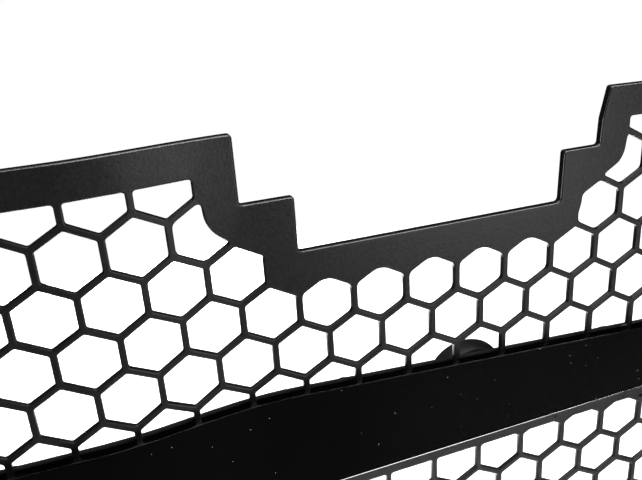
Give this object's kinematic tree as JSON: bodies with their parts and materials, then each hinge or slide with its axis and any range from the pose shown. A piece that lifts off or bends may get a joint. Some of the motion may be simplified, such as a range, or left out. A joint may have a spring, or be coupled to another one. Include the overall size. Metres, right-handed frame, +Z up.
{
  "type": "front grille",
  "caption": "Wide black honeycomb front grille with a plain horizontal bar, a stepped latch notch in the top edge, and brackets, clips and push-in retainers behind.",
  "frame": {"origin": "centre of the four side bolt holes, at the rear face of the side brackets, which is also the level of the bar's centre line", "axes": "+X across the vehicle to the viewer's right, +Y rearward through the grille, +Z up; the visible face points to -Y"},
  "size_m": [1.062, 0.0496, 0.3099],
  "materials": {
    "frame_plastic": "satin black moulded ABS",
    "bar_plastic": "gloss black moulded ABS",
    "nylon": "matt black glass-filled nylon",
    "zinc_steel": "bright zinc-plated steel",
    "bracket_steel": "black electrocoated steel sheet",
    "retainer_plastic": "black moulded nylon",
    "spring_steel": "oiled blue-grey spring steel",
    "foam": "black closed-cell foam"
  },
  "bodies": {
    "grille": {"upper_grille": "frame_plastic", "lower_grille": "frame_plastic", "centre_bar": "bar_plastic", "bar_beam": "nylon", "stop_cup_left": "nylon", "stop_cup_right": "nylon", "bar_screws": "zinc_steel", "bar_washers": "zinc_steel", "cup_screws": "zinc_steel", "top_bracket_screws": "zinc_steel", "side_bracket_screws": "zinc_steel", "top_bracket_1": "bracket_steel", "top_bracket_2": "bracket_steel", "top_bracket_3": "bracket_steel", "top_bracket_4": "bracket_steel", "side_bracket_left": "bracket_steel", "side_bracket_right": "bracket_steel", "retainer_sleeves": "retainer_plastic", "lower_clip_1": "spring_steel", "lower_clip_2": "spring_steel", "lower_clip_3": "spring_steel", "lower_clip_4": "spring_steel", "top_foam": "foam", "bottom_foam": "foam", "side_pad_left": "foam", "side_pad_right": "foam"},
    "pin_1": {"retainer_pin_1": "retainer_plastic"},
    "pin_2": {"retainer_pin_2": "retainer_plastic"},
    "pin_3": {"retainer_pin_3": "retainer_plastic"},
    "pin_4": {"retainer_pin_4": "retainer_plastic"}
  },
  "joints": [
    {"name": "pin_1_pull", "type": "slide", "parent": "grille", "child": "pin_1", "axis": [0, 0, 1], "range_m": [0, 0.007]},
    {"name": "pin_2_pull", "type": "slide", "parent": "grille", "child": "pin_2", "axis": [0, 0, 1], "range_m": [0, 0.007]},
    {"name": "pin_3_pull", "type": "slide", "parent": "grille", "child": "pin_3", "axis": [0, 0, 1], "range_m": [0, 0.007]},
    {"name": "pin_4_pull", "type": "slide", "parent": "grille", "child": "pin_4", "axis": [0, 0, 1], "range_m": [0, 0.007]}
  ]
}
